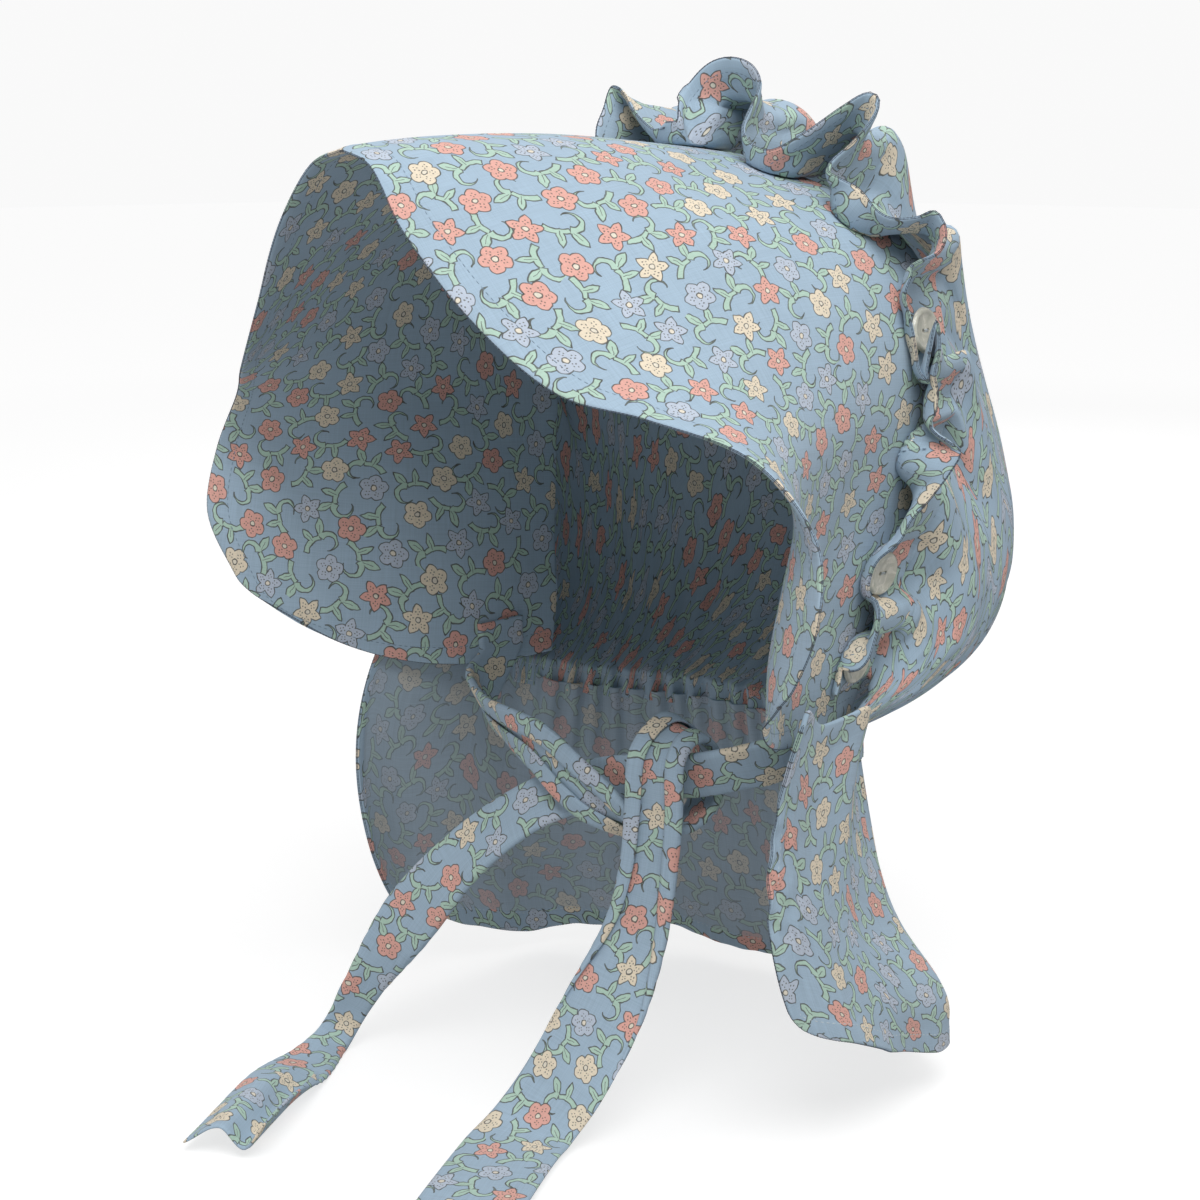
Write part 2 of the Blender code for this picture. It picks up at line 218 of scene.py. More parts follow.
def areaLight(name, place, aim, size, power):
    data = bpy.data.lights.new(name, "AREA")
    data.shape = "DISK"
    data.size = size
    data.energy = power
    light = bpy.data.objects.new(name, data)
    scene.collection.objects.link(light)
    light.location = place
    light.rotation_mode = "QUATERNION"
    light.rotation_quaternion = (Vector(place) - Vector(aim)).to_track_quat("Z", "Y")


def makeFloor():
    work = bmesh.new()
    bmesh.ops.create_grid(work, x_segments=1, y_segments=1, size=studio["floorSize"])
    bmesh.ops.translate(work, verts=work.verts, vec=(0.0, 0.0, studio["floorHeight"]))
    values = {"Base Color": studio["floorColour"], "Emission Color": (1.0, 1.0, 1.0, 1.0)}
    material, inputs = startMaterial("paleFloor", {**values, "Roughness": 0.95, "Specular IOR Level": 0.1})
    away = vectorCalc("LENGTH", addNode("TexCoord").outputs["Object"])
    glow = feed(addNode("MapRange"), away, *studio["floorFade"], *studio["floorGlow"])[0]
    wire(inputs["Emission Strength"], litOrSeen(studio["floorLight"], glow))
    makeObject("floor", work, material)


def makeRoom():
    world = bpy.data.worlds.new("whiteRoom")
    world.use_nodes = True
    building["tree"] = world.node_tree
    inputs = world.node_tree.nodes["Background"].inputs
    wire(inputs["Color"], (1.0, 1.0, 1.0, 1.0))
    wire(inputs["Strength"], litOrSeen(studio["roomLight"], studio["roomGlow"]))
    scene.world = world


makeCamera()
for light in studio["lights"]:
    areaLight(*light)
makeFloor()
makeRoom()
scene.view_settings.view_transform = "Standard"
print("camera, light and floor are in place")

# ---- print and weave
def shade(red, green, blue):  # a colour read off a screen, 0 to 255, made linear
    return tuple(((x / 255 + 0.055) / 1.055) ** 2.4 for x in (red, green, blue)) + (1.0,)


printValues = {
    "spacing": 19.8,  # between flowers, in millimetres
    "turn": 0.47,
    "flowerSize": 0.96,
    "sprigSize": 1.1,
    "scatter": 3.6,
    "drift": (0.012, 0.0, 16.0),  # scale, detail and reach of the lattice's bends
    "shake": (0.32, 1.0, 1.3),  # and of the unsteady drawing
    "roundShare": 0.52,  # the other flowers are pointed
    "colourShares": (0.34, 0.68),  # where cream and lavender flowers begin
    "outline": 0.23,
    "ground": shade(164, 186, 204),
    "salmon": shade(224, 171, 159),
    "cream": shade(229, 216, 194),
    "lavender": shade(188, 198, 212),
    "leaf": shade(179, 206, 191),
    "line": shade(84, 84, 80),
    "eye": shade(226, 218, 202),
    "reverse": shade(172, 184, 194),
    "reverseFade": 0.5,
}


def cellOf(place, seed):  # the place within its cell in millimetres, and two chances of that cell
    cell = vectorCalc("FLOOR", place)
    centre = vectorCalc("ADD", cell, (0.5, 0.5, 0.0))
    chance = addNode("TexWhiteNoise")
    chance.noise_dimensions = "3D"
    wire(chance.inputs["Vector"], vectorCalc("ADD", cell, (0.0, 0.0, seed)))
    local = scaled(vectorCalc("SUBTRACT", place, centre), printValues["spacing"])
    stray = scaled(centred(chance.outputs["Color"]), printValues["scatter"])
    local = vectorCalc("SUBTRACT", local, stray)
    third = split(chance.outputs["Color"])[2]
    return local, chance.outputs["Value"], third


def flowerShapes(local, angle, pointed):
    local = turned(scaled(local, 1.0 / printValues["flowerSize"]), times(angle, fullTurn))
    x, y = split(local)[:2]
    far = vectorCalc("LENGTH", local)
    fifth = fullTurn / 5
    around = calc("FLOORED_MODULO", calc("ADD", calc("ARCTAN2", y, x), fifth / 2), fifth)
    around = minus(around, fifth / 2)
    out = times(far, calc("COSINE", around))
    beside = calc("ABSOLUTE", times(far, calc("SINE", around)))
    centre = calc("MULTIPLY_ADD", pointed, -0.6, 3.6)
    sink = times(pointed, 2.39)
    radius = calc("MULTIPLY_ADD", pointed, 1.79, 2.7)
    petal = vectorCalc("LENGTH", join(minus(out, centre), calc("ADD", beside, sink)))
    petal = minus(petal, radius)
    eye = minus(far, 1.15)
    folded = join(out, beside)
    dots = vectorCalc("DISTANCE", folded, (2.3, 0.0, 0.0))
    for spot in ((3.25, 0.8, 0.0), (4.3, 0.0, 0.0)):
        dots = calc("MINIMUM", dots, vectorCalc("DISTANCE", folded, spot))
    return petal, eye, minus(dots, 0.29)


def arcBand(local, centre, radius, middle, half, thick, thin):
    arm = vectorCalc("SUBTRACT", local, (*centre, 0.0))
    x, y = split(turned(arm, -middle))[:2]
    share = calc("DIVIDE", calc("ARCTAN2", y, x), half)
    width = calc("MULTIPLY_ADD", share, (thin - thick) / 2, (thick + thin) / 2)
    off = calc("ABSOLUTE", minus(vectorCalc("LENGTH", arm), radius))
    band = minus(off, width)
    end = times(minus(calc("ABSOLUTE", share), 1.0), half * radius)
    return calc("MAXIMUM", band, end)


def sprigShapes(local, angle, flip):
    local = turned(local, times(angle, fullTurn))
    local = vectorCalc("MULTIPLY", local, join(flip, 1.0 / printValues["sprigSize"]))
    local = vectorCalc("ADD", local, (0.2, -1.6, 0.0))
    shape = arcBand(local, (-7.0, -3.0), 7.6, math.radians(-11), math.radians(34), 1.15, 0.85)
    hook = arcBand(local, (-3.3, 1.2), 3.4, math.radians(98), math.radians(118), 1.4, 0.0)
    shape = calc("MINIMUM", shape, hook)
    veins = []
    for centre, lean, fullness in (((3.5, 2.2, 0.0), 34, 1.6), ((3.1, -3.7, 0.0), -8, 1.3)):
        blade = turned(vectorCalc("SUBTRACT", local, centre), math.radians(-lean))
        a, b = split(blade)[:2]
        b = calc("ABSOLUTE", b)
        radius = (3.6**2 + fullness**2) / (2 * fullness)
        leaf = vectorCalc("LENGTH", join(a, calc("ADD", b, radius - fullness)))
        shape = calc("MINIMUM", shape, minus(leaf, radius))
        reach = minus(calc("ABSOLUTE", calc("ADD", a, 0.9)), 1.9)
        veins.append(calc("MAXIMUM", minus(b, 0.13), reach))
    return shape, calc("MINIMUM", *veins)


def makePrint():
    group, given, result = startGroup("calicoPrint", {"Cloth": "Vector"}, {"Color": "Color"})
    values = printValues
    place = scaled(given["Cloth"], 1000.0)
    for scale, detail, reach in (values["drift"], values["shake"]):
        stray = scaled(centred(softNoise(place, scale, detail, "Color")), reach)
        place = vectorCalc("ADD", stray, place)
    lattice = scaled(turned(place, values["turn"]), 1.0 / values["spacing"])
    local, angle, third = cellOf(lattice, 3.0)
    pointed = calc("GREATER_THAN", calc("FRACT", times(third, 7.0)), values["roundShare"])
    petal, eye, dots = flowerShapes(local, angle, pointed)
    lattice = vectorCalc("ADD", lattice, (0.5, 0.5, 0.0))
    local, angle, flip = cellOf(lattice, 8.0)
    grow = 1.0 / values["sprigSize"]
    flip = calc("MULTIPLY_ADD", calc("GREATER_THAN", flip, 0.5), 2.0 * grow, -grow)
    sprig, vein = sprigShapes(local, angle, flip)
    half = values["outline"]
    faint = calc("MULTIPLY_ADD", softNoise(place, 0.25, 2.0), 0.7, 0.5)

    def lineOf(distance):
        line = inside(minus(calc("ABSOLUTE", distance), half))
        return calc("MINIMUM", times(line, faint), 1.0)

    colour = blendColour(inside(sprig), values["ground"], values["leaf"])
    veins = times(inside(vein), 0.75)
    colour = blendColour(calc("MAXIMUM", lineOf(sprig), veins), colour, values["line"])
    cream, lavender = (calc("GREATER_THAN", third, share) for share in values["colourShares"])
    flower = blendColour(cream, values["salmon"], values["cream"])
    flower = blendColour(lavender, flower, values["lavender"])
    colour = blendColour(inside(petal), colour, flower)
    colour = blendColour(lineOf(petal), colour, values["line"])
    colour = blendColour(inside(eye), colour, values["eye"])
    marks = calc("MAXIMUM", lineOf(eye), times(inside(dots), 0.8))
    colour = blendColour(marks, colour, values["line"])
    wire(result["Color"], colour)
    return group


weaveValues = {
    "thread": 0.42,  # a pair of threads, in millimetres
    "slub": 0.28,
    "slubScale": (0.05, 2.4),  # along a thread and across it
    "cloud": 0.12,
    "relief": 0.00012,
    "hemWidth": 0.0085,  # metres of full colour round the paler wrong side
}


def makeWeave():
    found = {"Shade": "Float", "Height": "Float"}
    group, given, result = startGroup("linenWeave", {"Cloth": "Vector"}, found)
    place = scaled(given["Cloth"], 1000.0)
    x, y = split(place)[:2]
    rate = fullTurn / weaveValues["thread"]
    knit = times(*(calc("SINE", times(way, rate)) for way in (x, y)))
    long, short = weaveValues["slubScale"]
    stretches = ((short, long, 1.0), (long, short, 1.0))
    slubs = [softNoise(vectorCalc("MULTIPLY", place, each), 1.0) for each in stretches]
    slub = minus(calc("ADD", *slubs), 1.0)
    cloud = minus(softNoise(place, 0.035, 3.0), 0.5)
    tone = calc("MULTIPLY_ADD", slub, weaveValues["slub"], 1.0)
    tone = calc("MULTIPLY_ADD", cloud, weaveValues["cloud"], tone)
    wire(result["Shade"], calc("MULTIPLY_ADD", knit, 0.035, tone))
    wire(result["Height"], calc("MULTIPLY_ADD", slub, 1.2, times(knit, 0.5)))
    return group


calicoPrint = makePrint()
linenWeave = makeWeave()


def makeCalico(name, reverse=False):
    sheen = {"Sheen Weight": 0.12, "Sheen Roughness": 0.5}
    material, inputs = startMaterial(name, {"Roughness": 0.86, "Specular IOR Level": 0.25, **sheen})
    flat = addNode("UVMap")
    flat.uv_map = "flat"
    colour = placeGroup(calicoPrint, Cloth=flat.outputs[0])["Color"]
    weave = placeGroup(linenWeave, Cloth=flat.outputs[0])
    if reverse:
        edge = addNode("UVMap")
        edge.uv_map = "edge"
        within = calc("GREATER_THAN", split(edge.outputs[0])[0], weaveValues["hemWidth"])
        faded = times(within, printValues["reverseFade"])
        colour = blendColour(faded, colour, printValues["reverse"])
    wire(inputs["Base Color"], blendColour(1.0, colour, weave["Shade"], "MULTIPLY"))
    addBump(inputs, weave["Height"], weaveValues["relief"], 0.6)
    return material


calico = makeCalico("calico")
calicoReverse = makeCalico("calicoReverse", reverse=True)
print("calico is printed and woven")

# ---- shapes of the bonnet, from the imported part's own tables
# distance along the brim's back edge, then x y z of its back edge, middle and front edge
brimRows = (
    (0.0, 0.0, 1.5, 0.3, 0.0, -9.0, 1.0, 0.0, -18.4, 0.5),
    (1.8, 1.8, 1.5, 0.15, 2.0, -9.1, 0.7, 1.7, -18.5, -0.1),
    (3.7, 3.7, 1.5, -0.35, 4.0, -9.1, -0.2, 3.4, -18.6, -2.2),
    (7.3, 7.1, 1.7, -1.5, 7.2, -8.9, -2.3, 6.0, -17.7, -5.3),
    (10.3, 9.5, 2.2, -3.2, 9.6, -8.4, -4.6, 8.7, -16.4, -7.6),
    (12.9, 10.5, 2.7, -5.4, 11.2, -7.4, -6.8, 11.2, -14.7, -8.4),
    (16.3, 10.7, 3.0, -8.7, 12.1, -6.6, -9.4, 14.2, -12.7, -9.7),
    (19.3, 10.5, 2.7, -11.6, 11.9, -6.6, -12.0, 16.5, -12.1, -12.2),
    (22.0, 10.1, 2.2, -14.2, 11.4, -6.9, -14.6, 16.9, -12.4, -14.9),
    (24.8, 9.6, 1.6, -16.8, 10.9, -6.9, -17.3, 15.8, -12.1, -17.2),
    (27.8, 8.9, 1.0, -19.7, 10.6, -6.5, -20.0, 14.8, -11.8, -18.3),
    (30.2, 8.5, 0.3, -21.9, 10.4, -6.0, -21.7, 13.0, -10.5, -19.6),
)
# distance along the back edge, then x y z of the crown's first handle, second handle and nape
crownRows = (
    (0.0, 0.0, 7.6, 3.2, 0.0, 20.5, -18.6, 0.0, 5.2, -23.2),
    (5.0, 5.0, 6.2, 2.4, 5.3, 19.8, -18.6, 2.2, 5.0, -23.1),
    (8.7, 8.1, 4.0, 0.2, 9.0, 18.2, -18.7, 4.1, 4.4, -23.0),
    (13.7, 11.0, 3.4, -5.6, 12.4, 14.6, -19.2, 6.0, 3.3, -22.9),
    (18.6, 11.7, 3.4, -10.8, 13.6, 11.0, -19.2, 7.6, 1.9, -22.7),
    (23.5, 11.3, 2.9, -16.0, 12.6, 5.8, -19.8, 8.8, 0.2, -22.3),
    (28.4, 9.3, 1.1, -20.3, 9.5, 0.2, -21.2, 9.4, -1.2, -21.9),
)
# the near half of the ruffle from the top centre down: place and height of its hem, then of the cloth at
# the button line
nearRuffle = (
    (0.0, 0.3, 0.0, 0.0), (0.5, 0.45, 1.0, 0.1), (0.4, 0.9, 1.1, 0.7), (0.05, 1.6, 1.1, 1.4),
    (0.3, 2.3, 1.0, 1.6), (0.8, 2.9, 1.3, 1.9), (1.5, 3.2, 1.8, 2.0), (2.3, 3.1, 2.4, 1.9),
    (2.9, 2.6, 2.9, 1.6), (3.1, 1.7, 3.0, 1.1), (3.4, 0.8, 3.2, 0.7), (3.8, 0.4, 3.4, 0.1),
    (4.4, 0.3, 4.4, 0.0), (5.0, 0.5, 5.4, 0.1), (5.5, 1.2, 5.7, 0.9), (6.0, 2.2, 6.0, 1.5),
    (6.4, 3.1, 6.3, 2.1), (6.8, 3.9, 6.6, 2.4), (7.15, 4.0, 6.9, 2.4), (7.4, 3.5, 7.15, 2.1),
    (7.4, 2.4, 7.3, 1.5), (7.25, 1.4, 7.4, 1.1), (7.4, 1.0, 7.5, 0.5), (7.9, 1.05, 7.7, 0.15),
    (8.7, 1.2, 8.7, 0.05), (9.5, 1.1, 9.7, 0.15), (10.0, 1.3, 10.1, 0.6), (10.35, 1.9, 10.4, 1.1),
    (10.5, 2.6, 10.7, 1.5), (11.0, 2.55, 11.1, 1.45), (11.4, 2.0, 11.4, 1.1), (11.45, 1.2, 11.6, 0.8),
    (11.6, 0.5, 11.8, 0.2), (12.1, 0.05, 12.6, 0.0), (13.7, 0.0, 13.7, 0.0), (14.7, 0.0, 14.8, 0.0),
    (15.5, 0.1, 15.4, 0.0), (15.1, 0.35, 15.2, 0.25), (14.1, 0.75, 14.95, 0.55), (13.3, 1.15, 14.8, 0.8),
    (14.4, 1.05, 15.3, 0.8), (15.4, 0.65, 15.8, 0.4), (16.3, 0.35, 16.4, 0.2), (16.9, 0.5, 16.8, 0.3),
    (17.3, 1.0, 17.1, 0.5), (17.6, 1.6, 17.4, 0.3), (17.85, 1.9, 17.7, 0.0), (18.5, 1.8, 18.6, 0.0),
    (19.3, 1.6, 19.6, 0.1), (20.4, 1.2, 20.2, 0.6), (21.0, 0.9, 21.0, 0.7), (22.0, 0.6, 22.0, 0.4),
    (22.7, 0.1, 22.5, 0.05), (23.5, 0.0, 23.5, 0.0), (24.1, 0.2, 24.5, 0.05), (24.2, 0.6, 24.7, 0.5),
    (24.7, 0.9, 25.0, 0.8), (25.6, 0.95, 25.5, 0.8), (26.4, 0.9, 26.0, 0.6), (26.9, 0.6, 26.2, 0.1),
    (27.1, 0.1, 27.1, 0.0),
)
# the far loops: start and end along the back edge, height, places of first foot, first belly, crest,
# second belly and second foot, and set-back
farLoops = (
    (0.0, 4.4, 2.6, 0.6, 1.9, 3.1, 3.4, 3.5, 1.4),
    (4.4, 8.7, 1.6, 5.2, 5.3, 6.4, 7.5, 7.6, 1.1),
    (8.7, 13.7, 2.6, 9.7, 10.2, 11.6, 12.0, 12.4, 1.4),
    (13.7, 18.6, 2.4, 14.8, 14.6, 15.8, 17.3, 17.5, 1.4),
    (18.6, 23.5, 2.3, 19.7, 20.0, 21.4, 22.0, 22.4, 1.3),
    (23.5, 27.1, 1.0, 24.7, 24.8, 25.3, 25.8, 25.9, 1.0),
)
loopProfile = (0.0, 0.0, 0.5, 1.0, 0.5, 0.0, 0.0)
# distance from the centre of the nape, then x y z of the curtain's top edge, middle and hem
curtainRows = (
    (0.0, 0.0, 5.2, -24.1, 0.0, 6.6, -30.6, 0.0, 8.6, -37.0),
    (5.0, 2.2, 5.0, -24.0, 2.6, 6.4, -30.6, 3.2, 8.4, -37.0),
    (9.4, 4.1, 4.4, -23.9, 4.8, 5.8, -30.4, 5.9, 7.8, -36.9),
    (14.4, 6.0, 3.3, -23.8, 6.9, 4.6, -30.1, 8.4, 6.2, -36.8),
    (19.0, 7.6, 1.9, -23.6, 8.7, 2.7, -29.7, 10.4, 4.4, -36.5),
    (24.0, 8.8, 0.2, -23.2, 9.9, 0.3, -29.0, 11.8, 1.8, -35.8),
    (27.8, 10.1, -0.7, -22.0, 10.7, -2.0, -28.3, 12.4, -0.6, -34.9),
    (28.7, 10.6, -1.1, -20.9, 10.9, -2.7, -28.0, 12.5, -1.6, -34.6),
    (29.9, 10.8, -2.6, -20.9, 11.05, -3.9, -27.4, 12.6, -2.7, -34.1),
    (31.5, 11.0, -4.6, -20.9, 11.3, -5.6, -26.8, 12.5, -4.4, -33.4),
    (34.0, 11.5, -6.0, -20.0, 11.3, -7.0, -26.6, 12.2, -5.9, -32.8),
    (35.6, 11.8, -6.7, -20.4, 11.2, -7.7, -26.4, 11.9, -6.7, -32.2),
)
# x y z of a tie's centre line, its width there and the way its outer face looks
nearTieRows = (
    (8.6, -4.0, -22.8, 1.9, 0.5, -0.6, -0.5),
    (7.0, -5.3, -23.4, 1.7, 0.3, -0.8, -0.4),
    (5.2, -5.8, -23.9, 1.6, 0.1, -0.95, -0.3),
    (3.6, -5.9, -24.2, 1.5, 0.0, -1.0, -0.2),
    (1.6, -6.3, -24.6, 1.6, -0.1, -1.0, 0.1),
    (-0.4, -6.9, -25.3, 1.9, -0.1, -1.0, 0.4),
    (-2.2, -7.9, -26.4, 2.1, 0.0, -0.9, 0.55),
    (-4.4, -9.1, -28.5, 2.3, 0.2, -0.85, 0.6),
    (-6.6, -10.3, -31.6, 2.3, 0.5, -0.8, 0.4),
    (-8.4, -11.3, -34.8, 1.4, 0.8, -0.6, 0.2),
    (-9.3, -12.1, -36.9, 1.2, 0.6, -0.4, 0.7),
    (-8.7, -13.8, -37.3, 1.8, 0.2, -0.1, 1.0),
    (-7.2, -16.8, -37.3, 3.0, 0.1, 0.0, 1.0),
    (-5.3, -20.0, -37.3, 3.8, 0.0, 0.0, 1.0),
    (-4.2, -21.9, -37.3, 4.0, 0.0, 0.0, 1.0),
)
farTieRows = (
    (-8.5, -4.0, -22.8, 1.9, -0.5, -0.6, -0.5),
    (-7.1, -5.1, -23.2, 1.8, -0.4, -0.7, -0.4),
    (-5.2, -6.1, -23.3, 1.8, -0.3, -0.8, -0.4),
    (-3.2, -7.0, -23.3, 1.8, -0.1, -0.95, -0.2),
    (-1.4, -7.4, -23.6, 1.9, 0.0, -1.0, 0.0),
    (0.4, -7.5, -24.5, 2.0, 0.0, -1.0, 0.1),
    (1.8, -7.1, -25.4, 2.0, 0.0, -1.0, -0.1),
    (3.3, -6.3, -26.2, 1.9, 0.1, -0.6, -0.8),
    (4.4, -5.0, -26.0, 1.8, 0.3, 0.4, -0.9),
    (4.9, -4.3, -24.7, 1.8, 0.3, 0.95, -0.1),
    (4.9, -4.5, -22.9, 1.9, 0.3, 0.6, 0.7),
    (4.8, -5.7, -22.05, 2.0, 0.3, -0.2, 1.0),
    (4.8, -7.0, -22.9, 2.1, 0.3, -0.95, 0.3),
    (4.8, -7.2, -25.2, 2.2, 0.3, -0.95, 0.0),
    (4.7, -7.4, -27.6, 2.3, 0.2, -0.95, 0.1),
    (4.5, -7.9, -30.0, 2.6, 0.2, -0.9, 0.3),
    (4.2, -9.2, -32.6, 3.3, 0.2, -0.8, 0.5),
    (3.7, -11.1, -35.4, 3.9, 0.1, -0.7, 0.6),
    (3.3, -12.5, -37.0, 4.0, 0.1, -0.4, 0.9),
    (3.9, -14.4, -37.3, 4.0, 0.0, 0.0, 1.0),
    (5.6, -17.6, -37.3, 4.0, 0.0, 0.0, 1.0),
    (7.4, -20.8, -37.3, 4.0, 0.0, 0.0, 1.0),
    (9.0, -23.4, -37.3, 4.0, 0.0, 0.0, 1.0),
)


def smoothStep(x):
    x = min(max(x, 0.0), 1.0)
    return x * x * (3.0 - 2.0 * x)


def readRows(rows, at):  # the columns of a table at one value of its first column, on a smooth curve
    at = min(max(at, rows[0][0]), rows[-1][0])
    last = len(rows) - 2
    i = next((k for k in range(last + 1) if at <= rows[k + 1][0]), last)
    lower, upper = max(i - 1, 0), min(i + 2, len(rows) - 1)
    before, here, there, after = rows[lower], rows[i], rows[i + 1], rows[upper]
    span = there[0] - here[0]
    t = (at - here[0]) / span
    t2, t3 = t * t, t * t * t
    a, b = 2 * t3 - 3 * t2 + 1, 3 * t2 - 2 * t3
    m = (t3 - 2 * t2 + t) * span / (there[0] - before[0])
    n = (t3 - t2) * span / (after[0] - here[0])
    return [
        a * here[c] + b * there[c] + m * (there[c] - before[c]) + n * (after[c] - here[c])
        for c in range(1, len(here))
    ]


def mirrored(point, arc):
    return Vector((-point.x, point.y, point.z)) if arc < 0 else point


def threePoint(values, t):
    a, b, c = (1 - t) * (1 - 2 * t), 4 * t * (1 - t), t * (2 * t - 1)
    return Vector([values[k] * a + values[k + 3] * b + values[k + 6] * c for k in range(3)])


def brimFrame(arc, t):  # a point of the brim's near half and its outward normal; t is 1 at the front edge
    values = readRows(brimRows, arc)
    along = threePoint(readRows(brimRows, arc + 0.1), t)
    along -= threePoint(readRows(brimRows, max(arc - 0.1, 0.0)), t)
    across = threePoint(values, t + 0.005) - threePoint(values, t - 0.005)
    if arc < 0.1:
        along = Vector((1.0, 0.0, along.z * arc / 0.1))
    return threePoint(values, t), across.cross(along).normalized()


def wander(x, y, seed, size):  # a smooth wander between -1 and 1
    return noise.noise(Vector((x / size, y / size, seed * 7.3)))


# ---- cloth made from a grid that is laid on a surface
def edgeSpacing(length, count, close=(0.0, 0.03, 0.07, 0.13, 0.21, 0.3, 0.42, 0.6)):
    middle = [close[-1] + (length - 2 * close[-1]) * k / count for k in range(1, count)]
    return list(close) + middle + [length - x for x in reversed(close)]


# place gives a point in cm, nearest the way to an edge in cm, wall the share of the thickness at such a way
def layCloth(name, size, place, nearest, wall, thickness, materials, zones=None):
    columns, rows = size
    work = bmesh.new()
    bmesh.ops.create_grid(work, x_segments=columns, y_segments=rows, size=0.5)
    corner = {}
    for vert in work.verts:
        x, y = vert.co.x + 0.5, vert.co.y + 0.5
        corner[round(x * columns), round(y * rows)] = vert
    for (i, j), vert in corner.items():
        vert.co = place(i, j) * cm
    zones = zones or [(rows, range(0, rows + 1, 4))]  # each zone's last row, and the rows it is measured on
    lengths = []
    for last, measured in zones:
        along = [0.0]
        for i in range(columns):
            steps = [(corner[i + 1, j].co - corner[i, j].co).length for j in measured]
            along.append(along[-1] + sum(steps) / len(steps))
        lengths.append(along)
    down = {}
    for i in range(columns + 1):
        down[i, 0] = 0.0
        for j in range(rows):
            down[i, j + 1] = down[i, j] + (corner[i, j + 1].co - corner[i, j].co).length
    flat = work.loops.layers.uv.new("flat")
    edge = work.loops.layers.uv.new("edge")
    where = {vert: key for key, vert in corner.items()}
    distances = {key: nearest(*key) for key in corner}
    for face in work.faces:
        top = max(where[vert][1] for vert in face.verts)
        along = next(found for found, (last, measured) in zip(lengths, zones) if top <= last)
        for loop in face.loops:
            i, j = where[loop.vert]
            loop[flat].uv = (along[i], down[i, j])
            loop[edge].uv = (distances[i, j] * cm, 0.0)
    work.verts.index_update()
    weights = {vert.index: wall(distances[where[vert]]) for vert in work.verts}
    cloth = makeObject(name, work, *materials)
    cloth.data.shade_smooth()
    group = cloth.vertex_groups.new(name="wall")
    for index, weight in weights.items():
        group.add([index], weight, "REPLACE")
    solid = cloth.modifiers.new("wall", "SOLIDIFY")
    solid.thickness = thickness
    solid.offset = 0.0
    solid.vertex_group = "wall"
    if len(materials) > 1:
        solid.material_offset = 1
    return cloth, (lengths[-1][-1], sum(down[i, rows] for i in range(columns + 1)) / (columns + 1))


def unfold(cloth):  # the print's coordinates of a stretched sheet, laid out flat in metres
    mesh = cloth.data
    mesh.uv_layers.active = mesh.uv_layers["flat"]
    bpy.context.view_layer.objects.active = cloth
    cloth.select_set(True)
    bpy.ops.object.mode_set(mode="EDIT")
    bpy.ops.mesh.select_all(action="SELECT")
    bpy.ops.uv.unwrap(method="CONFORMAL", margin=0.0)
    bpy.ops.object.mode_set(mode="OBJECT")
    cloth.select_set(False)
    layer = mesh.uv_layers["flat"].data
    covered = 0.0
    for face in mesh.polygons:
        ring = [layer[k].uv for k in face.loop_indices]
        covered += abs(sum(a.x * b.y - b.x * a.y for a, b in zip(ring, ring[1:] + ring[:1]))) / 2
    size = math.sqrt(sum(face.area for face in mesh.polygons) / covered)
    for spot in layer:
        spot.uv = spot.uv * size


def edgeWall(values):  # share of the full thickness at a distance from an edge in cm: rolled, hemmed and sewn
    def wall(distance):
        rounded = math.sqrt(max(1.0 - (1.0 - min(distance / values["roll"], 1.0)) ** 2, 0.02))
        seam = 1.0 + (values["plainShare"] - 1.0) * smoothStep((distance - values["hem"]) / 0.12)
        pulled = 1.0 - 0.22 * math.exp(-((distance - values["stitch"]) / 0.05) ** 2)
        return rounded * seam * pulled

    return wall


def addPiece(piece, slot, *nodes):
    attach(piece, "root")
    if nodes:
        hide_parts(*nodes)


# ---- brim
brimValues = {
    "columns": 240,
    "rows": 64,
    "depth": 18.0,
    "thickness": 0.0022,  # at the hem, the rest is thinner
    "plainShare": 0.88,
    "roll": 0.34,
    "hem": 0.62,
    "stitch": 0.25,
    "topstitch": 1.1,
    "crease": 0.1,
}


def brimSurface(arc, t):
    side = -1 if arc < 0 else 1
    point, out = brimFrame(abs(arc), t)
    lift = 0.05 * wander(arc, t * brimValues["depth"], 3, 6.0) * smoothStep(t / 0.2)
    if arc > 0:
        fold = smoothStep((arc - 12.0) / 3.0) * (1.0 - smoothStep((arc - 22.0) / 3.0))
        lift += brimValues["crease"] * fold * math.exp(-((t - 0.36) / 0.045) ** 2)
    return mirrored(point + out * lift, side)


def makeBrim():
    reach, depth = brimRows[-1][0], brimValues["depth"]
    arcs = [x - reach for x in edgeSpacing(2 * reach, brimValues["columns"])]
    deep = edgeSpacing(depth, brimValues["rows"])

    def place(i, j):
        return brimSurface(arcs[i], deep[j] / depth)

    def nearest(i, j):
        return min(deep[j], depth - deep[j], reach - abs(arcs[i]))

    size = (len(arcs) - 1, len(deep) - 1)
    wall = edgeWall(brimValues)
    brim, flat = layCloth("stiffened_brim", size, place, nearest, wall, brimValues["thickness"], [calico])
    unfold(brim)
    addPiece(brim, "calico", "brim")
    print("brim", [round(x, 3) for x in flat])


makeBrim()

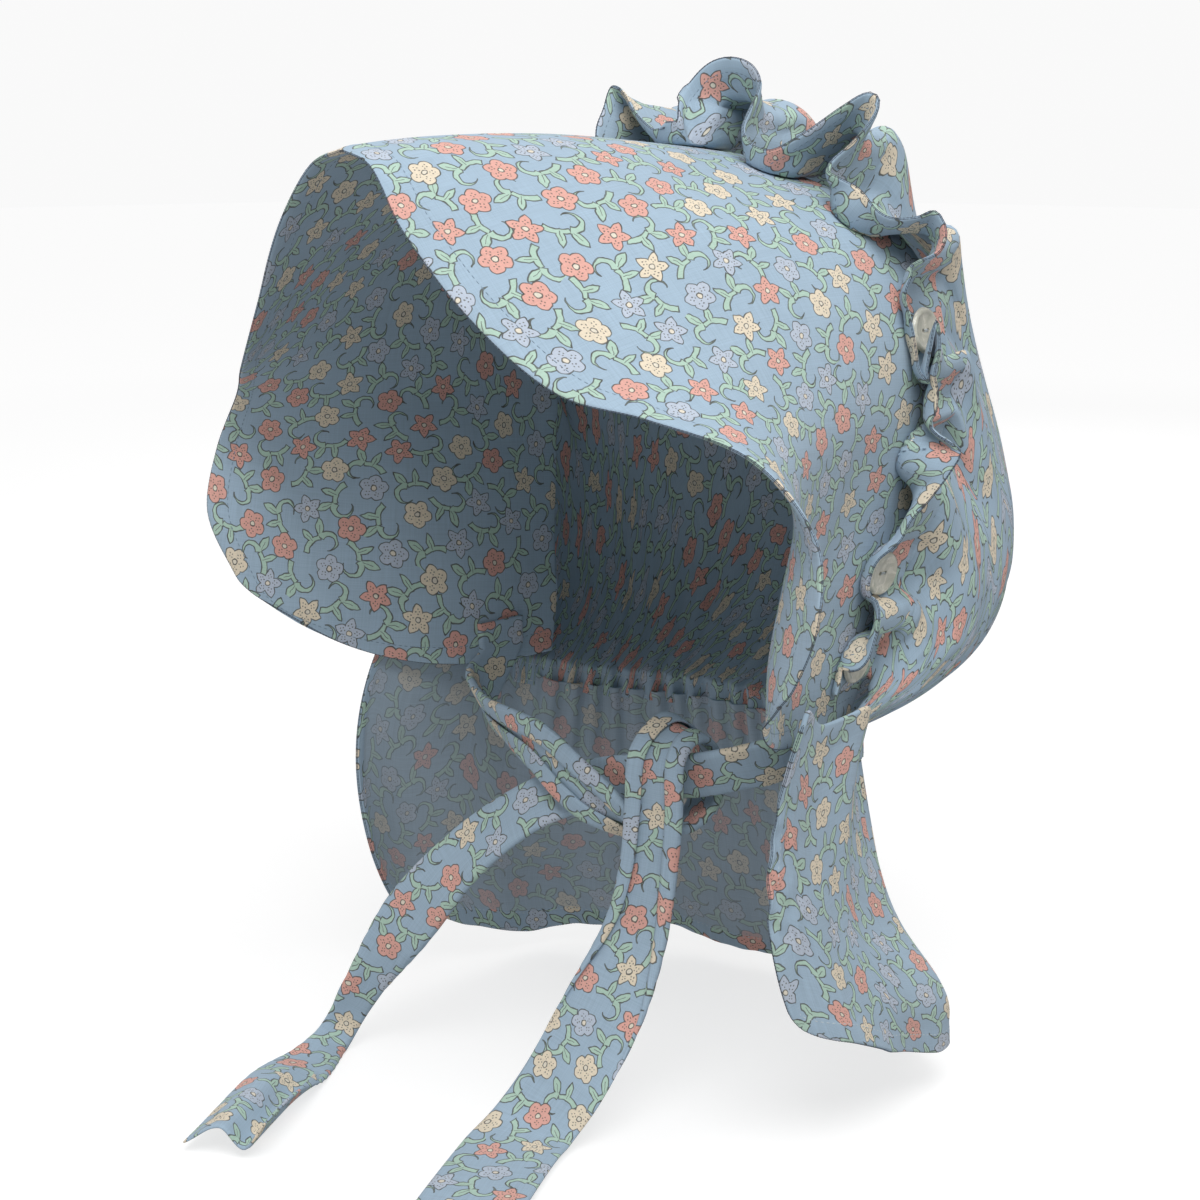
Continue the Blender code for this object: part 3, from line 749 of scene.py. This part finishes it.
# ---- crown with its ruffle
crownValues = {
    "columns": {1: 205, -1: 175},  # along the ruffle of the near and the far half
    "thickness": 0.0016,
    "plainShare": 0.75,
    "roll": 0.08,
    "hem": 0.42,
    "stitch": 0.3,
    "seat": 0.21,  # above the middle of the brim's wall
    "reach": 28.4,
    "curtainReach": 27.8,
    "ruffleDepth": 3.05,
    "ruffleLift": 0.25,
    "lip": 0.75,
    "clothStart": 0.15,  # from the brim's back edge
    "buttonLine": 1.9,
    "setBack": 0.43,
    "foldFade": 0.38,
    "gathers": 26,
    "gatherDepth": 0.26,
    "bandHeight": 0.9,
    "bandLap": 0.45,  # the band laps over the curtain's top edge
    "puckers": 0.42,
    "wrinkles": 0.1,
}
buttonPlaces = (0.0, 4.4, 8.7, 13.7, 18.6, 23.5, 27.1)
lastButton = buttonPlaces[-1]


def backShare(arc, distance):
    values = readRows(brimRows, abs(arc))
    return distance / ((threePoint(values, 0.05) - threePoint(values, 0.0)).length / 0.05)


def withLengths(rows):  # the same rows led by the length of the hem up to each
    far, result = 0.0, []
    for k, row in enumerate(rows):
        if k:
            far += math.hypot(row[0] - rows[k - 1][0], row[1] - rows[k - 1][1])
        result.append((far, *row))
    return result


def loopRows(loops):  # hem and button line of loops that are given by their feet, bellies and crest
    rows = []
    for start, end, height, *held, setBack in loops:
        places = [start] + [min(max(x, start + 0.95), end - 0.95) for x in held] + [end]
        for k in range(6 if end < lastButton else 7):
            line = places[k] + (start + (end - start) * k / 6 - places[k]) * 0.35
            lift = loopProfile[k] * height
            rows.append((held[k - 1] if 0 < k < 6 else places[k], lift + 0.05, line, lift * 0.8))
    return rows


ruffles = {1: withLengths(nearRuffle), -1: withLengths(loopRows(farLoops))}


def pinnedAt(rows):  # hem lengths at which the buttons hold the cloth
    return [min(rows, key=lambda row: abs(row[3] - place) + row[4])[0] for place in buttonPlaces]


pins = {side: pinnedAt(rows) for side, rows in ruffles.items()}


def ruffleShape(side, hem, t):
    rows = ruffles[side]
    edgePlace, edgeHeight, linePlace, lineHeight = readRows(rows, hem)
    back = crownValues["clothStart"] - crownValues["ruffleDepth"] * t
    ahead = back - crownValues["buttonLine"]
    flare = min(max(ahead / 1.3, 0.0), 1.0)
    place = linePlace + (edgePlace - linePlace) * flare
    height = max(lineHeight + (edgeHeight - lineHeight) * flare, 0.0)
    free = 0.3 + 0.7 * smoothStep((min(abs(place - button) for button in buttonPlaces) - 1.2) / 1.0)
    height += crownValues["lip"] * free * flare * flare * (1.0 - smoothStep(height / 1.2))
    share = hem / rows[-1][0]
    spread = smoothStep(t / 0.5)
    place += (share * lastButton - place) * spread * 0.8
    height *= 1.0 - smoothStep(t / crownValues["foldFade"])
    for pin, button in zip(pins[side], buttonPlaces):
        held = 1.0 - smoothStep((abs(hem - pin) - 1.0) / 0.5)
        if held > 0.0:
            away = math.hypot(place - button, min(ahead, 0.0) * 0.6 + max(ahead, 0.0))
            height *= 1.0 - held * (1.0 - smoothStep((away - 0.97) / 0.3))
    return min(max(place, 0.0), crownValues["reach"]), height


def gatherPleats(place, strength, nape, side):
    out = Vector((nape.x, nape.y + 4.0, 0.0)).normalized()
    strength *= 1.0 - 0.85 * smoothStep((place - 21.0) / 5.0)
    phase = place / crownValues["curtainReach"] * crownValues["gathers"] * math.pi
    phase += 1.1 * wander(place * side, 0.0, 11, 3.0) * smoothStep(place / 2.0)
    deep = 0.75 + 0.45 * wander(place * side, 5.0, 12, 2.2)
    return out * (crownValues["gatherDepth"] * strength * deep * math.sin(phase))


def bagFolds(place, along, side):  # valleys that run back from the buttons, and the slack of the cloth
    depth = 0.0
    for button in buttonPlaces:
        path = button + 0.8 * wander(along * 9.0, button * side, 21, 3.0)
        across = (place - path) / (0.55 + 1.1 * along)
        depth -= math.exp(-across * across) * (1.0 - smoothStep((along - 0.15) / 0.45))
    depth *= crownValues["puckers"]
    slack = wander(place * side, along * 22.0, 22, 2.6) + 1.6 * wander(place * side, along * 16.0, 23, 5.5)
    return (depth + crownValues["wrinkles"] * slack) * smoothStep((along - 0.01) / 0.06)


def crownPoint(side, hem, t):  # hem is the length along the ruffle's hem, or past its end the plain cloth
    length = ruffles[side][-1][0]
    if hem > length:
        place, height = lastButton + hem - length, 0.0
    else:
        place, height = ruffleShape(side, hem, t)
    setBack = crownValues["setBack"] * height * smoothStep(height / 2.0)
    onBrim = backShare(place, crownValues["clothStart"] + crownValues["ruffleDepth"] * max(-t, 0.0))
    start, out = brimFrame(place, onBrim)
    start = start + out * crownValues["seat"]
    if t < 0.0:
        lift = crownValues["ruffleLift"] * smoothStep((-t - 0.9) / 0.1)
        return mirrored(start + out * (lift + height) + Vector((0.0, setBack, 0.0)), side)
    handles = readRows(crownRows, place)
    first, second, nape = Vector(handles[0:3]), Vector(handles[3:6]), Vector(handles[6:9])
    along = min(t, 1.0)
    point = start * (1 - along) ** 3 + first * 3 * along * (1 - along) ** 2
    point += second * 3 * along**2 * (1 - along) + nape * along**3
    point += out * height + Vector((0.0, setBack, 0.0))
    point += gatherPleats(place, smoothStep((along - 0.5) / 0.5), nape, side)
    point += out * bagFolds(place, along, side) * (1.0 - smoothStep((along - 0.8) / 0.2))
    if t > 1.0:
        point.z -= (t - 1.0) * (crownValues["bandHeight"] + crownValues["bandLap"])
        point += Vector((nape.x, nape.y + 4.0, 0.0)).normalized() * (0.15 * smoothStep((t - 1.0) / 0.5))
    return mirrored(point, side)


def makeCrown():
    halves, depth = {}, crownValues["ruffleDepth"]
    for side, count in crownValues["columns"].items():
        length, rest = ruffles[side][-1][0], crownValues["reach"] - lastButton
        halves[side] = [(side, length * k / count) for k in range(count + 1)]
        halves[side] += [(side, length + rest * k / 5) for k in range(1, 6)]
    columns = halves[-1][:0:-1] + halves[1]
    steps = [-1.0 + x / depth for x in (0.0, 0.03, 0.08, 0.15, 0.23, 0.32, 0.42, 0.55)]
    steps += [-0.82 + 0.82 * k / 12 for k in range(1, 12)]
    steps += [k / 72 for k in range(72)] + [1.0, 1.1, 1.4, 1.7, 1.9, 2.0]

    def place(i, j):
        return crownPoint(*columns[i], steps[j])

    def nearest(i, j):
        return min((steps[j] + 1.0) * depth, 0.12 * min(i, len(columns) - 1 - i))

    size = (len(columns) - 1, len(steps) - 1)
    base = steps.index(0.0)
    zones = [(base, range(0, base, 2)), (size[1], range(base + 4, base + 50, 5))]
    wall, thickness = edgeWall(crownValues), crownValues["thickness"]
    crown, flat = layCloth("gathered_crown", size, place, nearest, wall, thickness, [calico], zones)
    addPiece(crown, "calico", "crown")
    print("crown", size, [round(x, 3) for x in flat])


makeCrown()

# ---- neck curtain
curtainValues = {
    "columns": 300,
    "rows": 60,
    "depth": 13.0,
    "thickness": 0.002,
    "plainShare": 0.6,
    "roll": 0.08,
    "hem": 0.85,
    "stitch": 0.78,
    "farHemDrop": 0.9,
    "billow": 1.3,
    "pinch": 0.35,
    "farBulge": 1.0,
    "crumple": 0.26,
    "corners": {1: 0.7, -1: 3.2},  # radius of the near and the far front corner
}


def curtainPoint(arc, t):
    side = -1 if arc < 0 else 1
    values = readRows(curtainRows, abs(arc))
    point, nape = threePoint(values, t), Vector(values[0:3])
    drawn = 1.0 - smoothStep((abs(arc) - 26.5) / 2.0)
    reach = min(abs(arc), crownValues["curtainReach"])
    point += gatherPleats(reach, (1.0 - 0.8 * smoothStep(t / 0.5)) * drawn, nape, side)
    if arc < 0:
        point.z -= curtainValues["farHemDrop"] * t * t * smoothStep((abs(arc) - 12.0) / 12.0)
    flare = smoothStep((t - 0.25) / 0.75) * smoothStep(abs(arc) / 6.0)
    point += Vector((0.55, 0.35, 0.0)) * (math.sin(abs(arc) * 0.62 + 0.6) * flare * 0.6)
    billow = smoothStep((abs(arc) - 14.0) / 6.0) * (1.0 - smoothStep((abs(arc) - 27.0) / 4.0))
    billow *= curtainValues["billow"] * math.exp(-(((t - 0.82) / 0.16) ** 2))
    point += Vector((0.8, 0.25, 0.0)) * billow
    turn = smoothStep((abs(arc) - 8.0) / 6.0) * (1.0 - smoothStep((abs(arc) - 19.0) / 5.0))
    point += Vector((-0.3, -0.1, 0.6)) * (turn * smoothStep((t - 0.8) / 0.2))
    if arc > 0:
        across = (arc - 30.2 - 3.0 * t) / 0.8
        pinch = math.exp(-across * across) * smoothStep(t / 0.1) * (1.0 - smoothStep((t - 0.35) / 0.25))
        point -= Vector((0.55, -0.8, 0.0)) * (curtainValues["pinch"] * pinch)
        ripple = smoothStep((t - 0.1) / 0.15) * (1.0 - smoothStep((t - 0.6) / 0.25))
        ripple *= smoothStep((arc - 31.5) / 2.5) * wander(arc, t * curtainValues["depth"], 31, 0.9)
        point += Vector((0.8, -0.3, 0.0)) * (curtainValues["crumple"] * ripple)
    else:
        bulge = smoothStep((abs(arc) - 26.0) / 8.0) * math.sin(math.pi * min(t, 1.0) ** 0.8)
        point += Vector((0.45, -1.0, 0.0)) * (curtainValues["farBulge"] * bulge)
    return mirrored(point, arc)


def curtainGrid(arc, away):  # away is the length below the top edge; the front corners are turned round
    radius, depth = curtainValues["corners"][-1 if arc < 0 else 1], curtainValues["depth"]
    reach = curtainRows[-1][0] - radius
    a, b = abs(arc) - reach, away - (depth - radius)
    if a > 0.0 and b > 0.0:
        share = max(a, b) / math.hypot(a, b)
        arc = math.copysign(reach + a * share, arc)
        away = depth - radius + b * share
    return curtainPoint(arc, away / depth)


def makeCurtain():
    reach, depth = curtainRows[-1][0], curtainValues["depth"]
    arcs = [x - reach for x in edgeSpacing(2 * reach, curtainValues["columns"])]
    deep = edgeSpacing(depth, curtainValues["rows"])

    def place(i, j):
        return curtainGrid(arcs[i], deep[j])

    def nearest(i, j):
        top = deep[j] if abs(arcs[i]) > 28.5 else depth  # only the front flaps have a free top edge
        return min(top, depth - deep[j], reach - abs(arcs[i]))

    size, sides = (len(arcs) - 1, len(deep) - 1), [calico, calicoReverse]
    wall, thickness = edgeWall(curtainValues), curtainValues["thickness"]
    curtain, flat = layCloth("neck_curtain", size, place, nearest, wall, thickness, sides)
    addPiece(curtain, "calico", "curtain")
    print("curtain", size, [round(x, 3) for x in flat])


makeCurtain()

# ---- ties
tieValues = {
    "steps": 230,
    "across": 34,
    "thickness": 0.0014,
    "width": 4.0,
    "length": 43.0,  # near enough to place the rolled end
    "turn": 0.11,  # radius of a turned-in edge
    "seatArcs": (27.9, 28.7, 29.5),
    "seatShare": 0.2,
    "seatSpread": 0.13,
    "seatInset": 0.24,
    "endFolds": ((-2.0, 1.15), (-1.0, 0.05), (0.2, 0.85), (2.0, 0.05)),  # place across and height
}


def tieLines(rows, side):
    lines = ([], [], [])
    for arc in tieValues["seatArcs"]:
        for line, across in zip(lines, (-0.5, 0.0, 0.5)):
            share = tieValues["seatShare"] + side * across * tieValues["seatSpread"]
            point, out = brimFrame(arc, share)
            line.append(mirrored(point - out * tieValues["seatInset"], side))
    for k, row in enumerate(rows):
        run = Vector(rows[min(k + 1, len(rows) - 1)][0:3]) - Vector(rows[max(k - 1, 0)][0:3])
        width = run.cross(Vector(row[4:7])).normalized() * row[3]
        for line, across in zip(lines, (-0.5, 0.0, 0.5)):
            line.append(Vector(row[0:3]) + width * across)
    return [[(k, *point) for k, point in enumerate(line)] for line in lines]


def foldAcross(s, width):  # where a point of the band lies when its edges are turned back
    over = abs(s) - width / 2
    turn = tieValues["turn"]
    if over <= 0.0:
        return s, 0.0
    angle = min(over / turn, math.pi)
    rest = max(over - math.pi * turn, 0.0)
    out = width / 2 + turn * math.sin(angle) - rest
    return math.copysign(out, s), -turn * (1.0 - math.cos(angle))


def makeTie(name, node, rows, side):
    lines = tieLines(rows, side)
    last = len(lines[0]) - 1
    steps, across = tieValues["steps"], tieValues["across"]
    centres = [[Vector(readRows(line, i / steps * last)) for line in lines] for i in range(steps + 1)]

    def place(i, j):
        a, b, c = centres[i]
        before, after = centres[max(i - 1, 0)][1], centres[min(i + 1, steps)][1]
        span = c - a
        face = (after - before).cross(span).normalized()
        s = (j / across - 0.5) * tieValues["width"]
        shift, lift = foldAcross(s, span.length)
        if side > 0:
            crushed = smoothStep((i / steps - 0.82) / 0.1)
            shift *= 1.0 - 0.16 * crushed
            lift += crushed * readRows(tieValues["endFolds"], s)[0]
        return b + span.normalized() * shift - face * lift * side

    def nearest(i, j):
        beside = min(j, across - j) / across * tieValues["width"]
        return min(beside, (steps - i) / steps * tieValues["length"])

    def wall(distance):
        return 0.5 + 0.5 * smoothStep(distance / 0.06)

    tie, flat = layCloth(name, (steps, across), place, nearest, wall, tieValues["thickness"], [calico])
    addPiece(tie, "calico", node)
    print(name, [round(x, 3) for x in flat])


makeTie("near_side_tie", "tie_near", nearTieRows, 1)
makeTie("far_side_tie", "tie_far", farTieRows, -1)

# ---- sewing
threadValues = {
    "pitch": 0.26,
    "length": 0.19,
    "width": 0.042,
    "height": 0.034,
    "edgePitch": 0.14,
    "edge": 0.01,
    # colour of the close stitches on the very edges: painted shade, a dark shadow line along each edge
    "edgeShadow": shade(62, 72, 88),
    "mid": shade(128, 146, 164),
    "light": shade(196, 206, 212),
}


def makeThread(name, colour):
    material, inputs = startMaterial(name, {"Roughness": 0.7})
    grain = softNoise(addNode("TexCoord").outputs["Object"], 1800.0)
    tone = calc("MULTIPLY_ADD", grain, 0.5, 0.75)
    wire(inputs["Base Color"], blendColour(1.0, colour, tone, "MULTIPLY"))
    addBump(inputs, grain, 0.00008)
    return material


threads = {tone: makeThread(tone + "Thread", threadValues[tone]) for tone in ("edgeShadow", "mid", "light")}


def surfaceLine(surface, path):  # points of a surface and its normals there, in cm
    found = []
    for a, b in path:
        point = surface(a, b)
        across = surface(a + 0.01, b) - surface(a - 0.01, b)
        down = surface(a, b + 0.01) - surface(a, b - 0.01)
        found.append((point, across.cross(down).normalized()))
    return found


def stitchPlaces(line, half, pitch=None):  # one stitch each pitch along a line, on both faces of the cloth
    pitch, walked, places = pitch or threadValues["pitch"], 0.0, []
    for (here, normal), (there, other) in zip(line, line[1:]):
        step = (there - here).length
        while walked < step:
            point = here.lerp(there, walked / step)
            run = (there - here).normalized()
            for face in (1, -1):
                up = (normal * face - run * run.dot(normal) * face).normalized()
                places.append((point + up * half, run, up))
            walked += pitch
        walked -= step
    return places


def sew(name, places, tone, length=None):
    length = length or threadValues["length"]
    work, lots = bmesh.new(), bpy.data.meshes.new("stitchLot")
    for first in range(0, len(places), 120):  # in lots, because a large mesh is slow to add to
        lot = bmesh.new()
        for point, run, up in places[first : first + 120]:
            across = up.cross(run) * threadValues["width"] / 2
            turn = Matrix((run * length / 2, across, up * threadValues["height"] / 2)).transposed()
            matrix = Matrix.Translation(point * cm) @ (turn * cm).to_4x4()
            bmesh.ops.create_icosphere(lot, subdivisions=1, radius=1.0, matrix=matrix)
        lot.to_mesh(lots)
        lot.free()
        work.from_mesh(lots)
    bpy.data.meshes.remove(lots)
    stitches = makeObject(name, work, threads[tone])
    stitches.data.shade_smooth()
    addPiece(stitches, "calico")


def stretch(start, end, step=0.3):
    count = max(int(abs(end - start) / step), 1)
    return [start + (end - start) * k / count for k in range(count + 1)]


def edgePath(reach, length, edge, start):  # round the two sides and the far end of a cloth, edge cm from them
    side = [(reach - edge, y) for y in stretch(start, length - edge)]
    front = [(x, length - edge) for x in stretch(reach - edge, edge - reach)]
    return side + front + [(-x, y) for x, y in reversed(side)]


def sewAround(names, surface, values, rows, inset, start, sink, tone):  # along the hem, then on the edge
    reach, half = rows[-1][0], values["thickness"] / cm / 2
    line = surfaceLine(surface, edgePath(reach, values["depth"], inset, start))
    sew(names[0], stitchPlaces(line, half * sink[0]), tone)
    line = surfaceLine(surface, edgePath(reach, values["depth"], threadValues["edge"], 0.1))
    # then close dark stitches on the very edge: painted shade, a shadow line along the edge
    sew(names[1], stitchPlaces(line, half * sink[1], threadValues["edgePitch"]), "edgeShadow")


def brimDown(arc, deep):
    return brimSurface(arc, deep / brimValues["depth"])


def sewCrown():
    half = crownValues["thickness"] / cm / 2
    stitchLine = crownValues["stitch"] / crownValues["ruffleDepth"] - 1.0
    hem, edge, casing = [], [], []
    for side in (1, -1):

        def surface(along, t):
            return crownPoint(side, max(along, 0.0), t)

        # the edge row on the hem's very edge is painted shade: a dark shadow line of close stitches
        seams = ((hem, stitchLine, 0.8), (edge, -0.999, 0.3), (casing, 1.25, 0.8), (casing, 1.85, 0.8))
        for places, t, sink in seams:
            line = surfaceLine(surface, [(x, t) for x in stretch(0.05, ruffles[side][-1][0], 0.2)])
            places += stitchPlaces(line, half * sink, threadValues["edgePitch"] if places is edge else None)
    sew("ruffle_stitches", hem, "mid")
    sew("ruffle_edge_shadow_line", edge, "edgeShadow")
    sew("casing_stitches", casing, "light")


# the second name is for the brim's painted shadow line, dark stitches on its very edge
inset, names = brimValues["topstitch"], ("brim_topstitch", "brim_edge_shadow_line")
sewAround(names, brimDown, brimValues, brimRows, inset, 0.4, (0.88, 0.2), "mid")
sewCrown()
# the second name is for the curtain's painted shadow line, dark stitches on its very edge
inset, names = curtainValues["stitch"], ("curtain_stitches", "curtain_edge_shadow_line")
sewAround(names, curtainGrid, curtainValues, curtainRows, inset, 0.9, (0.8, 0.3), "light")
print("seams are sewn")

# ---- buttons
buttonValues = {
    "holeRadius": 0.085,
    "holeSpacing": 0.34,
    "seat": 0.32,
    "segments": 40,
    "profile": (  # distance from the axis and height, from the back round the rim to the middle of the dish
        (0.0, 0.0), (0.7, 0.0), (0.84, 0.04), (0.9, 0.13), (0.87, 0.22), (0.8, 0.262), (0.73, 0.258),
        (0.67, 0.225), (0.62, 0.19), (0.5, 0.178), (0.3, 0.172), (0.0, 0.17),
    ),
    "pale": shade(218, 215, 203),
    "deep": shade(178, 179, 166),
    "shell": {
        "Subsurface Weight": 0.3,
        "Subsurface Radius": (0.0012, 0.0012, 0.0009),
        "Coat Weight": 0.35,
        "Coat Roughness": 0.12,
    },
}


def makePearl():
    material, inputs = startMaterial("pearlShell", buttonValues["shell"])
    place = addNode("TexCoord").outputs["Object"]
    drift = softNoise(place, 90.0, 2.0, "Color")
    cloud = softNoise(vectorCalc("MULTIPLY_ADD", drift, (0.012, 0.012, 0.012), place), 240.0, 3.0)
    cloud = calc("MAXIMUM", calc("MULTIPLY_ADD", cloud, 2.4, -0.7), 0.0)
    cloud = calc("SMOOTH_MIN", cloud, 1.0, 0.1)
    wire(inputs["Base Color"], blendColour(cloud, buttonValues["deep"], buttonValues["pale"]))
    wire(inputs["Roughness"], calc("MULTIPLY_ADD", cloud, 0.12, 0.2))
    return material


def buttonBlank():  # lathed, then drilled
    work = bmesh.new()
    verts = [work.verts.new((r, 0.0, z)) for r, z in buttonValues["profile"]]
    edges = [work.edges.new(pair) for pair in zip(verts, verts[1:])]
    bmesh.ops.spin(
        work, geom=verts + edges, cent=(0.0, 0.0, 0.0), axis=(0.0, 0.0, 1.0), angle=fullTurn,
        steps=buttonValues["segments"], use_merge=True,
    )
    bmesh.ops.remove_doubles(work, verts=work.verts, dist=0.0005)
    bmesh.ops.recalc_face_normals(work, faces=work.faces)
    disc = makeObject("buttonBlank", work)
    work, radius = bmesh.new(), buttonValues["holeRadius"]
    for side in (-1, 1):
        middle = Matrix.Translation((side * buttonValues["holeSpacing"] / 2, 0.0, 0.1))
        bmesh.ops.create_cone(
            work, cap_ends=True, segments=16, radius1=radius, radius2=radius, depth=1.0, matrix=middle
        )
    tool = makeObject("buttonDrill", work)
    cut = disc.modifiers.new("holes", "BOOLEAN")
    cut.operation = "DIFFERENCE"
    cut.object = tool
    cut.solver = "EXACT"
    view = bpy.context.evaluated_depsgraph_get()
    drilled = bpy.data.meshes.new_from_object(disc.evaluated_get(view))
    for part in (disc, tool):
        bpy.data.objects.remove(part)
    return drilled


def makeButtons():
    pearl, blank, places = makePearl(), buttonBlank(), []
    arcs = list(buttonPlaces) + [-place for place in buttonPlaces[1:]]
    for number, arc in enumerate(arcs, start=1):
        point, out = brimFrame(abs(arc), backShare(abs(arc), crownValues["buttonLine"]))
        seat = mirrored(point + out * buttonValues["seat"], arc)
        out = mirrored(out, arc)
        turn = out.to_track_quat("Z", "Y").to_matrix()
        work = bmesh.new()
        work.from_mesh(blank)
        matrix = Matrix.Translation(seat * cm) @ (turn * cm).to_4x4()
        bmesh.ops.transform(work, matrix=matrix, verts=work.verts)
        button = makeObject(f"pearl_button_{number:02d}", work, pearl)
        button.data.shade_smooth()
        button.data.set_sharp_from_angle(angle=math.radians(50))
        addPiece(button, "pearl_shell", f"button_{number:02d}")
        for lane in (-0.028, 0.028):
            places.append((seat + turn @ Vector((0.0, lane, 0.19)), turn @ Vector((1.0, 0.0, 0.0)), out))
    sew("button_threads", places, "light", 0.4)


makeButtons()
print("buttons are on")
